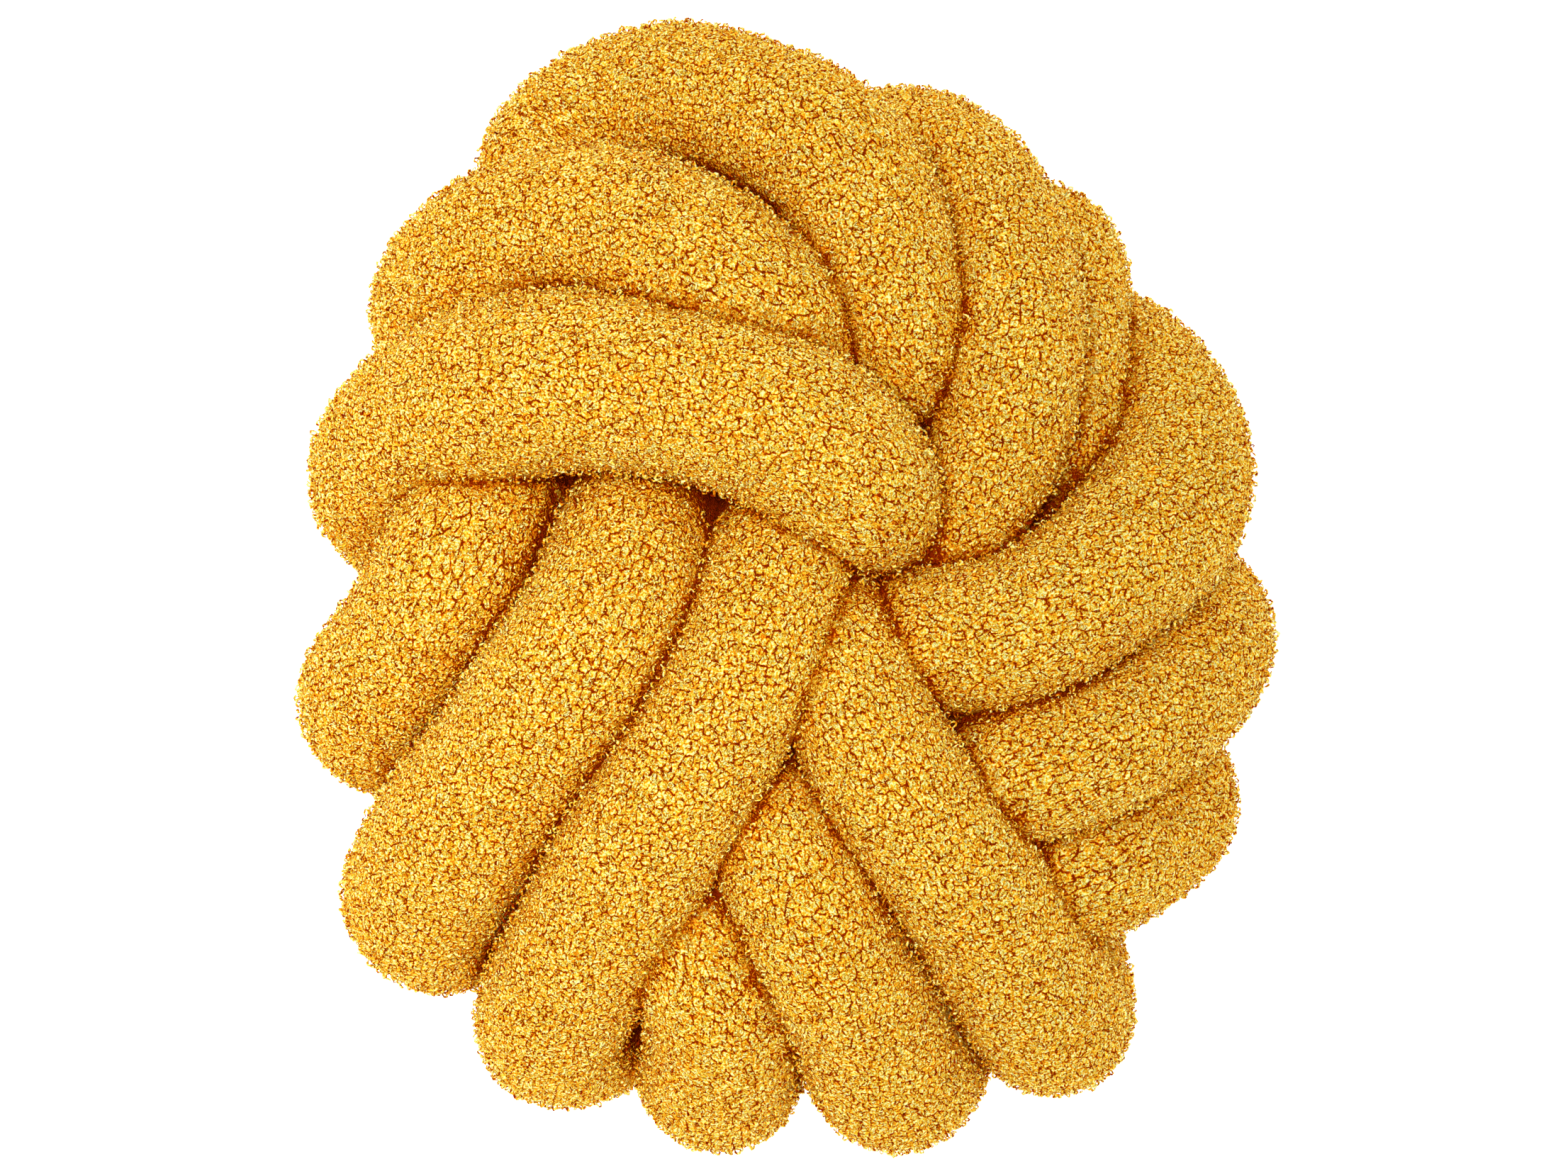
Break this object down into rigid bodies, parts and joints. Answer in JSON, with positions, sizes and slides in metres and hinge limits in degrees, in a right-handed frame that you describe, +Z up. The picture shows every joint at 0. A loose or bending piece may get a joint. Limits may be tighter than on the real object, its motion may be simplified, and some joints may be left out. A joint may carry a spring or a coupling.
{
  "type": "knot cushion",
  "caption": "Golden-yellow boucle knot cushion of stuffed tubes, in bands that turn and tuck under one another round a dimple, lying on its back.",
  "frame": {"origin": "centre of the bounding box on the floor under the cushion", "axes": "+Z up, out of the cushion's face; +Y towards the head of the face as pictured; +X to its right"},
  "size_m": [0.2762, 0.32, 0.1578],
  "materials": {
    "boucle": "curly boucle pile"
  },
  "bodies": {
    "root": {"knot_cushion": "boucle"}
  },
  "joints": []
}
